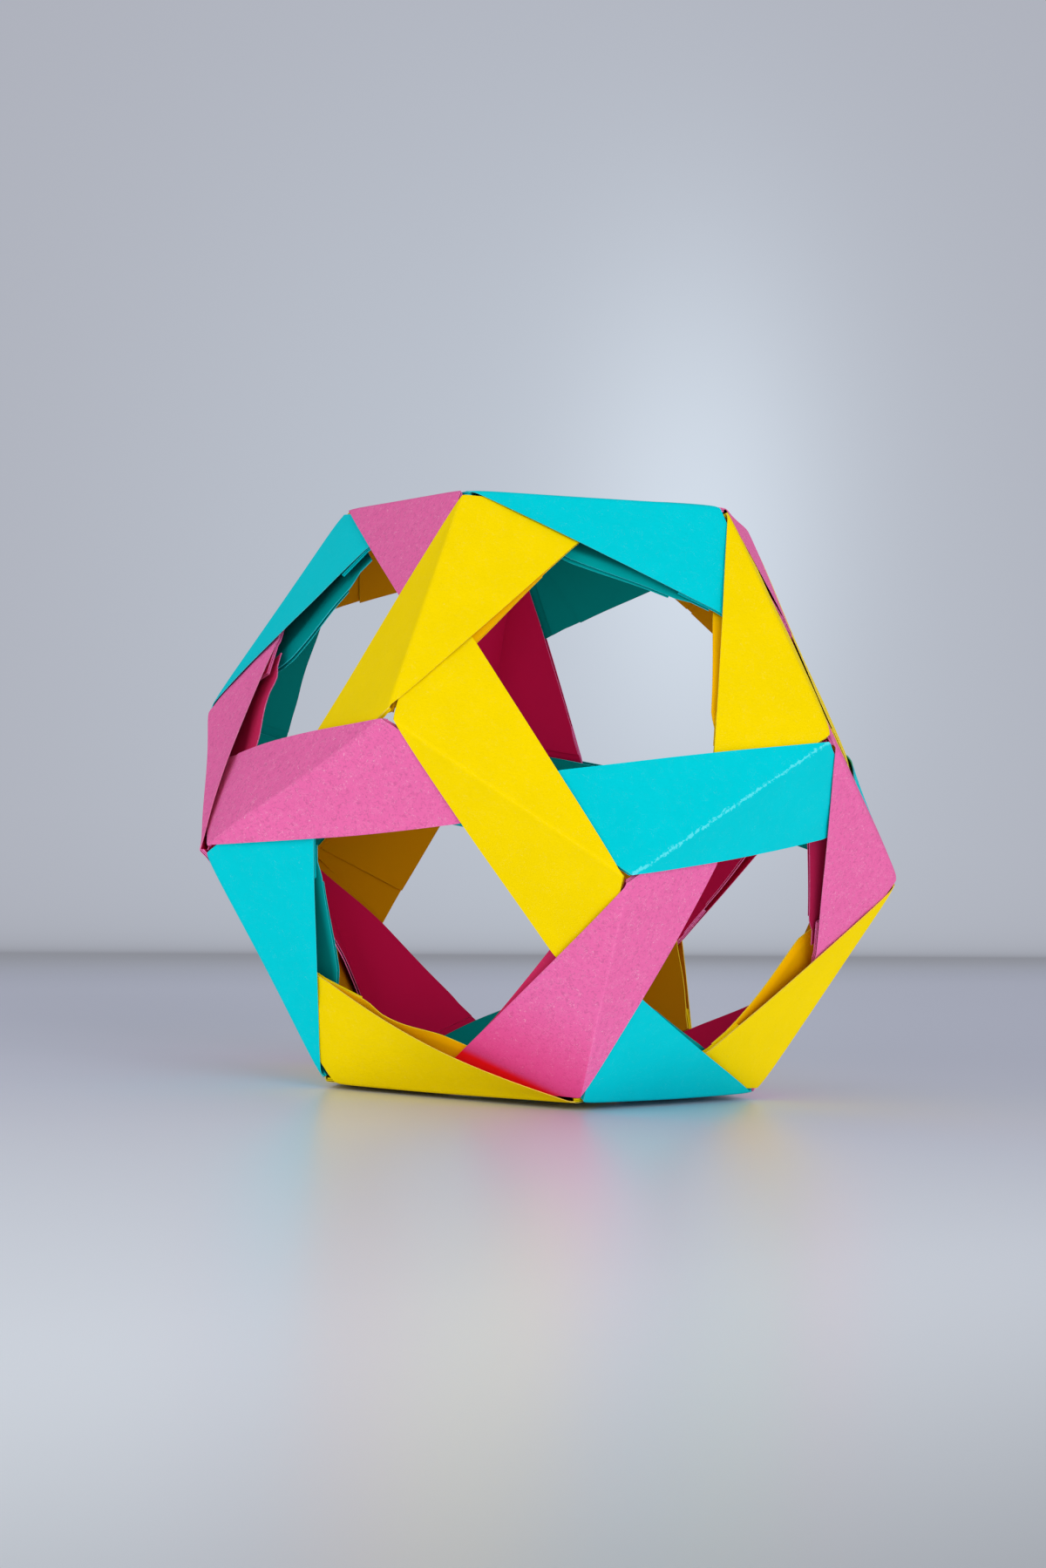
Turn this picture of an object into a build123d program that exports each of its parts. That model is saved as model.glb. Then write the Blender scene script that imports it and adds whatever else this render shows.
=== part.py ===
from build123d import *
from math import acos, asin, atan2, cos, degrees, hypot, radians, sin, sqrt
import os

os.makedirs("parts", exist_ok=True)

# Modular paper ball: thirty equal folded strips, one along each edge of a regular
# dodecahedron, held only by the folded corner of each strip sitting in the pocket
# of the next one. Millimetres, +Z up, the ball rests on one of its twelve faces.

# The sheet that every unit is folded from
sheet_width = 90.0
paper_thickness = 0.1
strip_plies = 4

# How loosely the folded strips sit together
slip = 0.04
pocket_play = 0.35
edge_spread = 1.4
ridge_radius = 0.6

# Colour of each unit, ring by ring from the table up, going round anticlockwise
colour_names = {"Y": "yellow", "P": "pink", "T": "turquoise"}
bottom_colours = "TPTYY"
lower_colours = "PYYPT"
belt_colours = "TPTPTYTPPY"
upper_colours = "YYPTY"
top_colours = "PTYPT"

# Angles of a regular dodecahedron, and where its lowest ring of corners starts
face_corners = 5
ring_turn = 360 / face_corners
corner_angle = 180 - ring_turn
face_angle = degrees(acos(-1 / sqrt(5)))
face_slope = (180 - face_angle) / 2
first_corner = -90

# The strip: the sheet folded zigzag, its two ends folded over at 45 degrees, then
# creased along the long diagonal of the two squares in its middle
strip_width = sheet_width / strip_plies
middle_length = 2 * strip_width
ridge_length = hypot(middle_length, strip_width)
ridge_turn = degrees(atan2(strip_width, middle_length))
corner_plies = 2 * strip_plies

# Thicknesses: leaf on the side where two plies lie outside, and where one does
ply = paper_thickness
pair = 2 * ply
corner_stack = corner_plies * ply
tuck_depth = pair + slip

# The ridges stop short of each corner of the ball, so that the folded corner of a
# unit clears the back of the unit it slips into. That leaves the small holes.
corner_hole = (corner_stack + tuck_depth + slip) / (
    sin(radians(face_angle)) * sin(radians(corner_angle))
)
edge_length = ridge_length + 2 * corner_hole
ball_height = edge_length * sqrt(2.5 + 1.1 * sqrt(5))

# Points of the flat strip, seen from outside, with one end of the crease at zero
crease_start = (0, 0)
crease_end = (middle_length, strip_width)
folded_tip = (-strip_width, strip_width)
flap_end = (0, strip_width)


def turned(angle, length, start=(0, 0)):
    """The point of the strip at an angle and a distance from another one."""
    x, y = start
    return (x + length * cos(radians(angle)), y + length * sin(radians(angle)))


# The next unit's free edge crosses this one at the pentagon's angle to it
overlap_angle = corner_angle
overlap_start = turned(
    ridge_turn + corner_angle,
    corner_hole,
    turned(ridge_turn + 180, corner_hole),
)
step_width = (
    overlap_start[1] * cos(radians(overlap_angle))
    - overlap_start[0] * sin(radians(overlap_angle))
    - slip
)
step_end = turned(overlap_angle, strip_width / sin(radians(overlap_angle)))

# Where the tip of the next unit's folded corner ends up inside this one's pocket
tip_from_corner = (
    corner_hole * cos(radians(corner_angle)) + strip_width * sqrt(2)
)
tip_on_crease = ridge_length + corner_hole - tip_from_corner
tip_reach = tip_on_crease * cos(radians(ridge_turn))
pocket_slope = degrees(
    asin((tuck_depth + corner_stack + slip + pocket_play - ply) / tip_reach)
)

# Sizes of the blocks that only trim other shapes
far = 3 * sheet_width
beyond = corner_hole


def strip_plane(lift=0.0):
    """The plane of the half with positive Y, with the strip's own x and y in it."""
    slope = radians(face_slope)
    turn = radians(ridge_turn)
    inward = Vector(0, cos(slope), -sin(slope))
    outward = Vector(0, sin(slope), cos(slope))
    along = Vector(1, 0, 0) * cos(turn) - inward * sin(turn)
    start = Vector(-ridge_length / 2, 0, 0) + outward * lift
    return Plane(origin=start, x_dir=along, z_dir=outward)


def sheet_part(plane, points, thickness):
    """A flat piece of paper of the given outline, its outer side in the plane."""
    outline = make_face(Polyline(*points, close=True))
    return extrude(plane * outline, amount=-thickness)


def side_block():
    """Everything on the side of the crease with positive Y."""
    return Box(far, far, far, align=(Align.CENTER, Align.MIN, Align.CENTER))


def crease_line(radius, drop):
    """The folded line across the crease, a set depth inside the outer faces."""
    slope = radians(face_slope)
    apex = -drop / cos(slope)
    foot = (far * cos(slope), apex - far * sin(slope))
    return FilletPolyline((-foot[0], foot[1]), (0, apex), foot, radius=radius)


def along_crease(face):
    """A section across the crease, drawn out along its whole length."""
    return extrude(Plane.YZ * face, amount=far / 2, both=True)


def bent_ply():
    """The outermost ply, bent over the crease with a soft radius."""
    outer = crease_line(ridge_radius, 0)
    inner = crease_line(ridge_radius - ply, ply)
    joins = [Line(outer @ end, inner @ end) for end in (0, 1)]
    return along_crease(make_face([outer, inner, *joins]))


def inside_block():
    """All that lies inside the outer faces and their rounded crease."""
    outer = crease_line(ridge_radius, 0)
    return along_crease(make_face([outer, Line(outer @ 0, outer @ 1)]))


def outer_leaf(plies):
    """The outer plies of one half, as far as the step under the next unit."""
    outline = [
        turned(overlap_angle, -beyond),
        turned(0, beyond, crease_end),
        step_end,
    ]
    window = sheet_part(strip_plane(sheet_width), outline, 2 * sheet_width)
    leaf = bent_ply() & window & side_block()
    if plies > 1:
        backing = sheet_part(strip_plane(-ply / 2), outline, plies * ply - ply / 2)
        leaf += backing & side_block()
    return leaf


def folded_corner():
    """The corner folded over at 45 degrees: all plies twice, with the small step
    that takes it under the free edge of the next unit."""
    across = strip_plane()
    turn = radians(overlap_angle)
    to_tip = across.x_dir * -sin(turn) + across.y_dir * cos(turn)
    to_window = across.x_dir * cos(turn) + across.y_dir * sin(turn)
    section_plane = Plane(origin=across.origin, x_dir=to_tip, z_dir=to_window)
    top = [(-sheet_width, 0), (0, 0), (step_width, -tuck_depth), (sheet_width, -tuck_depth)]
    under = [(x, depth - corner_stack) for x, depth in reversed(top)]
    section = make_face(Polyline(*top, *under, close=True))
    slab = extrude(section_plane * section, amount=sheet_width, both=True)
    outline = [crease_start, flap_end, folded_tip]
    return slab & sheet_part(strip_plane(ply), outline, sheet_width) & inside_block()


def pocket_plane(plies):
    """The outer side of the inner plies, which open out from the folded corner."""
    flat = strip_plane(-plies * ply)
    return Plane(flat.location * Rot(0, pocket_slope, 0))


def inner_leaf(plies, other_plies):
    """The inner plies of one half, trimmed where they meet those of the other."""
    plane = pocket_plane(plies)
    thickness = (strip_plies - plies) * ply
    outline = [
        crease_start,
        (-corner_stack, corner_stack),
        (-corner_stack, strip_width),
        flap_end,
        (crease_end[0] - edge_spread, strip_width + edge_spread),
        crease_end,
        (crease_end[0], 0),
    ]
    leaf = sheet_part(plane, outline, thickness)
    facing = Rot(0, 0, 180) * pocket_plane(other_plies).location
    inside = facing * Box(far, far, far, align=(Align.CENTER, Align.CENTER, Align.MAX))
    return leaf & inside


def half_unit(plies, other_plies):
    """One flat half of a unit, with so many plies outside its pocket."""
    return outer_leaf(plies) + folded_corner() + inner_leaf(plies, other_plies)


def folded_unit():
    """One whole folded strip. The second ply lies outside the pocket of one half
    and inside the pocket of the other."""
    return half_unit(2, 1) + Rot(0, 0, 180) * half_unit(1, 2)


def ring_points(radius, height, start):
    """Five corners of the ball at one height."""
    points = []
    for step in range(face_corners):
        angle = radians(start + ring_turn * step)
        points.append(Vector(radius * cos(angle), radius * sin(angle), height))
    return points


# Corners of the ball: four rings of five, the first one on the table. The two
# upper rings are turned by half a step.
upper_corner = first_corner + ring_turn / 2
small_ring = edge_length / (2 * sin(radians(ring_turn / 2)))
large_ring = small_ring * (1 + sqrt(5)) / 2
lower_height = small_ring
bottom_points = ring_points(small_ring, 0, first_corner)
lower_points = ring_points(large_ring, lower_height, first_corner)
upper_points = ring_points(large_ring, ball_height - lower_height, upper_corner)
top_points = ring_points(small_ring, ball_height, upper_corner)


def round_ring(points):
    """The edges from each point of a ring to the next."""
    following = points[1:] + points[:1]
    return list(zip(points, following))


belt_edges = []
for i in range(face_corners):
    belt_edges.append((lower_points[i], upper_points[i]))
    belt_edges.append((upper_points[i], lower_points[(i + 1) % face_corners]))

rings = {
    "bottom": (round_ring(bottom_points), bottom_colours),
    "lower": (list(zip(bottom_points, lower_points)), lower_colours),
    "belt": (belt_edges, belt_colours),
    "upper": (list(zip(upper_points, top_points)), upper_colours),
    "top": (round_ring(top_points), top_colours),
}

unit = folded_unit()
ball_centre = Vector(0, 0, ball_height / 2)

for ring, (edges, colours) in rings.items():
    for number, ((start, end), letter) in enumerate(zip(edges, colours), 1):
        middle = (start + end) * 0.5
        outward = middle - ball_centre
        place = Plane(origin=middle, x_dir=end - start, z_dir=outward)
        name = f"{ring}_unit_{number}_{colour_names[letter]}"
        export_step(place.location * unit, f"parts/{name}.step")
        print(name)

print("edge", round(edge_length, 3), "height", round(ball_height, 3))
print("hole", round(corner_hole, 3), "pocket slope", round(pocket_slope, 3))
print("unit solids", len(unit.solids()), "volume", round(unit.volume, 3))
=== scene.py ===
import math
import random

import bmesh
import bpy
from bpy.props import FloatProperty, FloatVectorProperty, IntProperty, PointerProperty
from mathutils import Matrix, Vector, noise


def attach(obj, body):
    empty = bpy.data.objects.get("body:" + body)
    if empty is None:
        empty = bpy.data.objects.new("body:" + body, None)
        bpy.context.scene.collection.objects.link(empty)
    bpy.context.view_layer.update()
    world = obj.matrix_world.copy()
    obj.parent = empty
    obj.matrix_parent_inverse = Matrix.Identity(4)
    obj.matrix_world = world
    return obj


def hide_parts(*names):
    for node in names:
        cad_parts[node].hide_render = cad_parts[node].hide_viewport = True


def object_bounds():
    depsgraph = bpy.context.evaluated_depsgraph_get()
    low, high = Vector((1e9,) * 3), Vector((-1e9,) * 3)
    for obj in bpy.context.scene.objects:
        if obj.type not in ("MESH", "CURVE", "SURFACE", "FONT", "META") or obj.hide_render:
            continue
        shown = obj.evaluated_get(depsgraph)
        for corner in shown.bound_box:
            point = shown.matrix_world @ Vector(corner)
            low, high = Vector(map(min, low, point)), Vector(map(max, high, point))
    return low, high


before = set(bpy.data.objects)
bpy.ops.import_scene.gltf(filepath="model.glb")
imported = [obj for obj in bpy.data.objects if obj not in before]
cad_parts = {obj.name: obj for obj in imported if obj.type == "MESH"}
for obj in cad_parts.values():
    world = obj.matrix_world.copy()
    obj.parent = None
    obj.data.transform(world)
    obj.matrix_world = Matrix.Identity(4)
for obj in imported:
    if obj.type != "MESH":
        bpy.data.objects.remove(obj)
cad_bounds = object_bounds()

bl_info = {
    "name": "Folded Paper Ball",
    "version": (1, 0, 0),
    "blender": (4, 5, 0),
    "location": "View3D > Sidebar > Paper Ball",
    "description": "Thirty folded paper strips tucked into one another as an openwork ball",
    "category": "Object",
}

MM = 0.001
CM = 0.01

# The half of each strip of the bottom ring that lies on the table
STANDING_HALF = -1

# Colour of each strip, ring by ring from the table up
RINGS = {
    "bottom": "TPTYY",
    "lower": "PYYPT",
    "belt": "TPTPTYTPPY",
    "upper": "YYPTY",
    "top": "PTYPT",
}
COLOUR_NAMES = {"Y": "yellow", "P": "pink", "T": "turquoise"}

# How far the crease of a strip is rubbed pale, where it is more than on the others
RUBBED = {"belt_1": 0.95, "lower_1": 0.3, "belt_9": 0.2}

# Halves of strips whose plies stand differently from most. 1 is the half on the left of
# the crease, seen from its start, and -1 the other. In millimetres: how far the outer
# leaf swells, the gap between the plies at the tucked end and at the pocket, and how far
# the third ply hangs off. In parts of the gap: how far the inner ply moves out into the
# window. In parts of the width: how much closer to the free edge its shade comes.
HALF_VALUES = ("bulge", "closed", "open", "loose", "spread", "dim")
LOOSE_HALVES = {
    ("belt_8", 1): (1.5, 2.0, 2.8, 1.0, 0.75, -0.1),
    ("upper_4", -1): (0.4, 2.6, 4.0, 0.4, 0.85, -0.13),
    ("lower_5", -1): (0.2, 1.5, 3.6, 0.3, 0.7, 0.09),
    ("bottom_5", 1): (3.7, 0.3, 0.9, 0.3, 0.9, 0.0),
    ("lower_2", 1): (0.3, 0.9, 4.2, 0.7, 0.8, 0.0),
    ("belt_2", -1): (0.2, 1.6, 2.6, 0.2, 0.9, 0.2),
    ("belt_9", 1): (1.2, 0.6, 2.0, 0.3, 0.4, 0.0),
    ("upper_1", 1): (0.5, 1.2, 1.8, 0.05, 0.95, 0.0),
    ("upper_5", -1): (0.3, 0.5, 1.6, 0.3, 0.8, 0.0),
    ("top_5", -1): (0.4, 1.4, 3.0, 0.6, 0.8, 0.0),
    ("lower_1", 1): (0.3, 0.5, 2.6, 0.4, 0.85, 0.0),
    ("upper_2", 1): (0.0, 0.4, 1.2, 0.2, 0.2, 0.0),
    ("upper_2", -1): (0.0, 0.4, 1.2, 0.2, 0.2, 0.0),
    ("top_1", 1): (0.0, 0.4, 1.2, 0.2, 0.3, 0.0),
    ("top_1", -1): (0.0, 0.4, 1.2, 0.2, 0.3, 0.0),
}

# Ends of strips that stand otherwise at their corner of the ball than most, which makes
# the hole there wider or tighter: how far they are pulled back and how deep they sink,
# in millimetres
LOOSE_ENDS = {
    ("belt_9", "end"): {"pull": 0.0, "sink": 0.0},
    ("belt_10", "start"): {"pull": 0.6, "sink": 0.2},
    ("upper_5", "start"): {"pull": 0.8, "sink": 0.3},
    ("belt_8", "end"): {"pull": -1.4, "sink": -0.6},
    ("belt_1", "end"): {"pull": 0.0, "sink": 0.0},
    ("bottom_5", "start"): {"pull": 1.6, "sink": 0.2},
    ("belt_2", "start"): {"pull": 0.9, "sink": 0.3},
}

# Corners of the ball that have slipped a little out of their regular places, in
# millimetres: ring of corners, number, and the way that the paper there has moved
SLIPPED = (
    ("lower", 4, (-2.7, 0.6, 1.3)),
    ("upper", 3, (0.5, -0.1, 1.8)),
    ("bottom", 4, (-2.2, 0.4, 0.8)),
    ("bottom", 0, (0.0, 0.0, 1.2)),
    ("bottom", 1, (0.9, -0.2, 1.2)),
    ("top", 0, (-0.8, 0.2, 0.2)),
    ("lower", 1, (0.1, 0.0, 0.7)),
    ("lower", 0, (0.8, -0.2, 0.0)),
    ("upper", 1, (1.6, 0.0, 0.4)),
    ("top", 1, (1.8, 0.0, 0.8)),
)
SLIP_REACH = 30 * MM

# Angles of the ball and of the crease across the strip
FACE_SLOPE = (math.pi - math.acos(-1 / math.sqrt(5))) / 2
CREASE_TURN = math.atan(0.5)
RING_TURN = 72
CORNER_ANGLE = math.radians(180 - RING_TURN)
LOWER_START = -90
UPPER_START = LOWER_START + RING_TURN / 2

# Where the pattern is divided so that it can bend: parts along the crease and beyond
# each of its ends, lines close beside it and lines at an even step further out
PARTS_ALONG = 34
PARTS_BEYOND = 8
LINES_BY_CREASE = (0.0, 0.25 * MM, 0.5 * MM, 0.8 * MM, 1.3 * MM, 2.2 * MM)
LINE_STEP = 2.6 * MM
LINE_STEPS = range(2, 13)

# The outer leaf steps down where it goes under the next strip
STEP_START = 1.4 * MM
STEP_LENGTH = 1.3 * MM

# Waves of the sheets: their height and length, and how far the crease keeps them flat
OUTER_WAVE = (0.12 * MM, 14 * MM)
INNER_WAVE = (0.25 * MM, 16 * MM)
CALM_BY_CREASE = 3 * MM

# In parts of the width: how far the free edge is in view past the end of the crease,
# where the pocket's mouth lies along it, and where the inner plies start to close again
# over the next strip and how soon they have
EDGE_IN_VIEW = 0.325
POCKET_MOUTH = 0.95
CLOSING_START = 1.1
CLOSING_LENGTH = 0.9

# Outlines of the inner plies and of the third one on one half, in parts of the width
INNER_OUTLINE = ((2, 1), (-0.3, 1), (-0.04, 0.12))
THIRD_OUTLINE = ((0.06, 0.1), (1.8, 0.92), (2, 1), (0.06, 1))

# The inner plies bend more softly over the crease, share part of the outer leaf's
# swelling and move out into the window by what their gap is wider than a close one. The
# third ply hangs free of them.
INNER_RIDGE_RADIUS = 2.1 * MM
SHARED_SWELLING = 0.7
CLOSE_GAP = 0.4 * MM
THIRD_PLY_AIR = 0.05 * MM

# In plies: depth and thickness of the two layers of the folded corner, and how much
# deeper the back layer lies at the free edge
FLAP_DEPTH = 2.2
FLAP_PLIES = 2
BACK_DEPTH = 4.8
BACK_PLIES = 3
BACK_SLOPE = 0.3

# How far from a corner of the ball a strip is sunk and pulled back
SINK_ALONG = 2.2 * MM
SINK_ACROSS = 3 * MM
PULL_REACH = 4 * MM

# Halves whose tucked end is lit by the strip that it goes under, and the colours that
# this gives it, further out and close to that strip
WARM_HALVES = {"lower_1": 1}
WARM_COLOUR = (0.72, 0.03, 0.18)
HOT_COLOUR = (0.92, 0.01, 0.012)

# The level line behind the ball where the table passes over into the backdrop: the
# way across it, and its distance from the middle of the ball in metres
TABLE_LINE_SIDE = (-0.495, 0.869, 0)
TABLE_LINE_AT = 0.434
TABLE_LINE_BLUR = 0.035

# Broad patch and bright streak of painted light on the backdrop: their places and sizes to
# the right and upwards, in parts of the distance
PATCH_PLACE = (0.012, 0.07)
PATCH_SIZE = (0.165, 0.2)
STREAK_PLACE = (0.062, 0.087)
STREAK_SIZE = (0.047, 0.0905)

# Radius of the floor in metres
FLOOR_RADIUS = 12

# Tints of the light from the table and from all round
BOUNCE_TINT = (0.96, 0.98, 1.0, 1)
SKY_TINT = (0.97, 0.985, 1.0, 1)

# Lamps: size and place in metres, and the spot that they look at
KEY_SIZE = 0.9
KEY_PLACE = (0.4, -1.25, 0.42)
FILL_SIZE = 1.0
FILL_PLACE = (-0.95, -0.9, 0.45)
LAMP_TARGET = (0, 0, 0.06)


class PaperBallSettings(bpy.types.PropertyGroup):
    """Sizes and colours of the folded strips"""

    strip_width: FloatProperty(
        name="Strip width", description="Width of the folded strip",
        default=22.5 * MM, unit="LENGTH", precision=5)
    ply_thickness: FloatProperty(
        name="Paper thickness", description="Thickness of one ply of paper",
        default=0.11 * MM, unit="LENGTH", precision=5)
    ridge_radius: FloatProperty(
        name="Ridge radius", description="Softness of the crease along the middle",
        default=0.9 * MM, unit="LENGTH", precision=5)
    tuck_depth: FloatProperty(
        name="Tuck depth", description="How deep a strip passes under the next one",
        default=0.32 * MM, unit="LENGTH", precision=5)
    valley_depth: FloatProperty(
        name="Valley depth", description="Space between the outer and inner plies at the crease",
        default=1.25 * MM, unit="LENGTH", precision=5)
    tucked_gap: FloatProperty(
        name="Closed gap", description="Gap between the plies at the tucked end of a free edge",
        default=0.8 * MM, unit="LENGTH", precision=5)
    pocket_gap: FloatProperty(
        name="Pocket gap", description="Gap between the plies where the next strip enters",
        default=2.3 * MM, unit="LENGTH", precision=5)
    yellow: FloatVectorProperty(
        name="Yellow", description="Colour of the yellow paper",
        subtype="COLOR", size=3, min=0, max=1, default=(0.90, 0.66, 0.0))
    pink: FloatVectorProperty(
        name="Pink", description="Colour of the pink paper",
        subtype="COLOR", size=3, min=0, max=1, default=(0.82, 0.148, 0.40))
    turquoise: FloatVectorProperty(
        name="Turquoise", description="Colour of the turquoise paper",
        subtype="COLOR", size=3, min=0, max=1, default=(0.0, 0.58, 0.66))
    # Painted shade: the yellow paper, darker and deeper, where its sheets face into the ball
    yellow_inside: FloatVectorProperty(
        name="Yellow inside", description="Yellow paper in the hollow of the ball",
        subtype="COLOR", size=3, min=0, max=1, default=(0.60, 0.25, 0.0))
    yellow_between: FloatVectorProperty(
        name="Yellow between", description="Yellow paper lit by the yellow ply in front of it",
        subtype="COLOR", size=3, min=0, max=1, default=(1.0, 0.49, 0.0))
    # Painted shade: the pink and the turquoise paper, darker and deeper, where their sheets face
    # into the ball
    pink_inside: FloatVectorProperty(
        name="Pink inside", description="Pink paper in the hollow of the ball",
        subtype="COLOR", size=3, min=0, max=1, default=(0.64, 0.008, 0.08))
    turquoise_inside: FloatVectorProperty(
        name="Turquoise inside", description="Turquoise paper in the hollow of the ball",
        subtype="COLOR", size=3, min=0, max=1, default=(0.0, 0.28, 0.27))
    seed: IntProperty(
        name="Seed", description="Chooses the small differences between the strips", default=7)


class PaperStageSettings(bpy.types.PropertyGroup):
    """Floor, light and camera"""

    floor_colour: FloatVectorProperty(
        name="Floor colour", description="Colour of the floor and backdrop",
        subtype="COLOR", size=3, min=0, max=1, default=(0.545, 0.565, 0.70))
    pool_colour: FloatVectorProperty(
        name="Lit floor colour",
        description="Colour of the floor in front, where more light falls",
        subtype="COLOR", size=3, min=0, max=1, default=(0.88, 0.93, 1.0))
    wall_colour: FloatVectorProperty(
        name="Backdrop colour", description="Colour of the backdrop round the floor",
        subtype="COLOR", size=3, min=0, max=1, default=(0.42, 0.435, 0.495))
    patch_colour: FloatVectorProperty(
        name="Backdrop patch", description="Colour of the broad paler patch of the backdrop",
        subtype="COLOR", size=3, min=0, max=1, default=(0.505, 0.55, 0.625))
    glow_colour: FloatVectorProperty(
        name="Backdrop glow", description="Colour of the bright upright streak behind the ball",
        subtype="COLOR", size=3, min=0, max=1, default=(0.65, 0.72, 0.81))
    bounce: FloatProperty(
        name="Bounce", description="Brightness of the light that comes up from the table",
        default=0.93)
    sky_strength: FloatProperty(
        name="Sky strength", description="Brightness of the even light all round", default=0.55)
    key_power: FloatProperty(
        name="Key light", description="Power of the large soft light in front",
        default=6.8, unit="POWER")
    fill_power: FloatProperty(
        name="Fill light", description="Power of the light from the other side",
        default=4.0, unit="POWER")
    lens: FloatProperty(
        name="Focal length", description="Focal length for a 36 mm wide picture",
        default=96.2, unit="CAMERA")
    camera_distance: FloatProperty(
        name="Camera distance", description="From the middle of the ball to the camera",
        default=576.1 * MM, unit="LENGTH", precision=4)
    camera_height: FloatProperty(
        name="Camera height", description="Height of the camera over the floor",
        default=54.2 * MM, unit="LENGTH", precision=4)
    camera_turn: FloatProperty(
        name="Camera turn", description="Where the camera stands round the ball, from the front",
        default=math.radians(-11.63), unit="ROTATION", subtype="ANGLE")
    camera_pan: FloatProperty(
        name="Camera pan", description="Turn of the view to the side",
        default=math.radians(-0.49), unit="ROTATION", subtype="ANGLE")
    camera_pitch: FloatProperty(
        name="Camera pitch", description="Turn of the view upwards",
        default=math.radians(0.80), unit="ROTATION", subtype="ANGLE")
    camera_roll: FloatProperty(
        name="Camera roll", description="Lean of the picture",
        default=math.radians(2.63), unit="ROTATION", subtype="ANGLE")


# Places of the strips


def ring_of_corners(radius, height, start):
    """Five corners of the ball at one height."""
    angles = [math.radians(start + RING_TURN * step) for step in range(5)]
    return [Vector((radius * math.cos(a), radius * math.sin(a), height)) for a in angles]


def ball_height():
    """Height of the solids, which stand on one face of the ball."""
    low, high = cad_bounds
    return high[2] - low[2]


def ball_edge():
    """Length of one edge of the ball, from corner to corner."""
    return ball_height() / math.sqrt(2.5 + 1.1 * math.sqrt(5))


def ball_corners():
    """The four rings of corners of the ball."""
    height = ball_height()
    small = ball_edge() / (2 * math.sin(math.radians(RING_TURN / 2)))
    large = small * (1 + math.sqrt(5)) / 2
    return {
        "bottom": ring_of_corners(small, 0, LOWER_START),
        "lower": ring_of_corners(large, small, LOWER_START),
        "upper": ring_of_corners(large, height - small, UPPER_START),
        "top": ring_of_corners(small, height, UPPER_START),
    }


def strip_edges(ring):
    """The pairs of ball corners that the strips of one ring join."""
    bottom, lower, upper, top = ball_corners().values()
    if ring == "lower":
        return list(zip(bottom, lower))
    if ring == "upper":
        return list(zip(upper, top))
    if ring == "belt":
        belt = []
        for i in range(5):
            belt += [(lower[i], upper[i]), (upper[i], lower[(i + 1) % 5])]
        return belt
    corners = bottom if ring == "bottom" else top
    return [(corners[i], corners[(i + 1) % 5]) for i in range(5)]


def slip_corners(strip):
    """Moves the paper round each slipped corner, less and less further away."""
    corners = ball_corners()
    slips = [(corners[ring][number], Vector(way) * MM) for ring, number, way in SLIPPED]
    for vert in strip.verts:
        moved = Vector()
        for home, way in slips:
            distance = (vert.co - home).length
            moved += way * math.exp(-(distance / SLIP_REACH) ** 2)
        vert.co += moved


def strip_place(start, end):
    """The matrix that lays a strip along one edge of the ball."""
    middle = (start + end) / 2
    along = (end - start).normalized()
    outward = (middle - Vector((0, 0, ball_height() / 2))).normalized()
    side = outward.cross(along)
    place = Matrix((along, side, outward)).transposed().to_4x4()
    place.translation = middle
    return place


# The flat pattern, creased and cut ready to fold


def from_strip(s, t):
    """Strip coordinates to distances along and across the crease."""
    c, d = math.cos(CREASE_TURN), math.sin(CREASE_TURN)
    return (s * c + t * d, t * c - s * d)


def to_strip(u, v):
    """Distances along and across the crease to strip coordinates."""
    c, d = math.cos(CREASE_TURN), math.sin(CREASE_TURN)
    return (u * c - v * d, u * d + v * c)


def other_half(points, width):
    """The same points on the half across the crease, which is turned half round."""
    return [(2 * width - s, width - t) for s, t in points]


def sized(outline, width):
    """An outline in parts of the width, brought to its real size."""
    return [(s * width, t * width) for s, t in outline]


def add_leaf(pattern, outline, number, width):
    """Adds one sheet of the pattern, as an outline in strip coordinates."""
    leaf = bmesh.new()
    corners = [leaf.verts.new((*from_strip(s, t), 0)) for s, t in outline]
    leaf.faces.new(corners)
    length = math.sqrt(5) * width
    across = [*LINES_BY_CREASE, *(i * LINE_STEP for i in LINE_STEPS)]
    steps_along = range(-PARTS_BEYOND, PARTS_ALONG + PARTS_BEYOND + 1)
    lines = [(0, length * i / PARTS_ALONG) for i in steps_along]
    lines += [(1, sign * distance) for distance in across for sign in (1, -1)]
    for axis, distance in lines:
        at, normal = Vector(), Vector()
        at[axis], normal[axis] = distance, 1
        parts = leaf.verts[:] + leaf.edges[:] + leaf.faces[:]
        bmesh.ops.bisect_plane(leaf, geom=parts, plane_co=at, plane_no=normal, dist=1e-7)
    grown = bmesh.ops.extrude_face_region(leaf, geom=leaf.faces[:])["geom"]
    lowered = [part for part in grown if isinstance(part, bmesh.types.BMVert)]
    bmesh.ops.translate(leaf, vec=(0, 0, -1), verts=lowered)
    bmesh.ops.recalc_face_normals(leaf, faces=leaf.faces)
    layer = leaf.verts.layers.int.new("leaf")
    for vert in leaf.verts:
        vert[layer] = number
    mesh = bpy.data.meshes.new("leaf")
    leaf.to_mesh(mesh)
    leaf.free()
    pattern.from_mesh(mesh)
    bpy.data.meshes.remove(mesh)


# The sheets that a strip is drawn with: its leaves, then the two layers of the folded
# corner at its near and its far end
OUTER, INNER, LOOSE, FLAP_NEAR, FLAP_FAR, BACK_NEAR, BACK_FAR = range(7)

# How much paler the cut edges of the leaves in view are
RIM_PALENESS = {OUTER: 0.6, INNER: 0.2, LOOSE: 0.2}

# Values of the crease map and of the overlap where neither shows: off the outer leaf
NO_CREASE = 50
NO_OVERLAP = -50.0

# Distances in the paper map from one strip and from one sheet to the next
STRIP_STEP = 20
SHEET_STEP = 7


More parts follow.
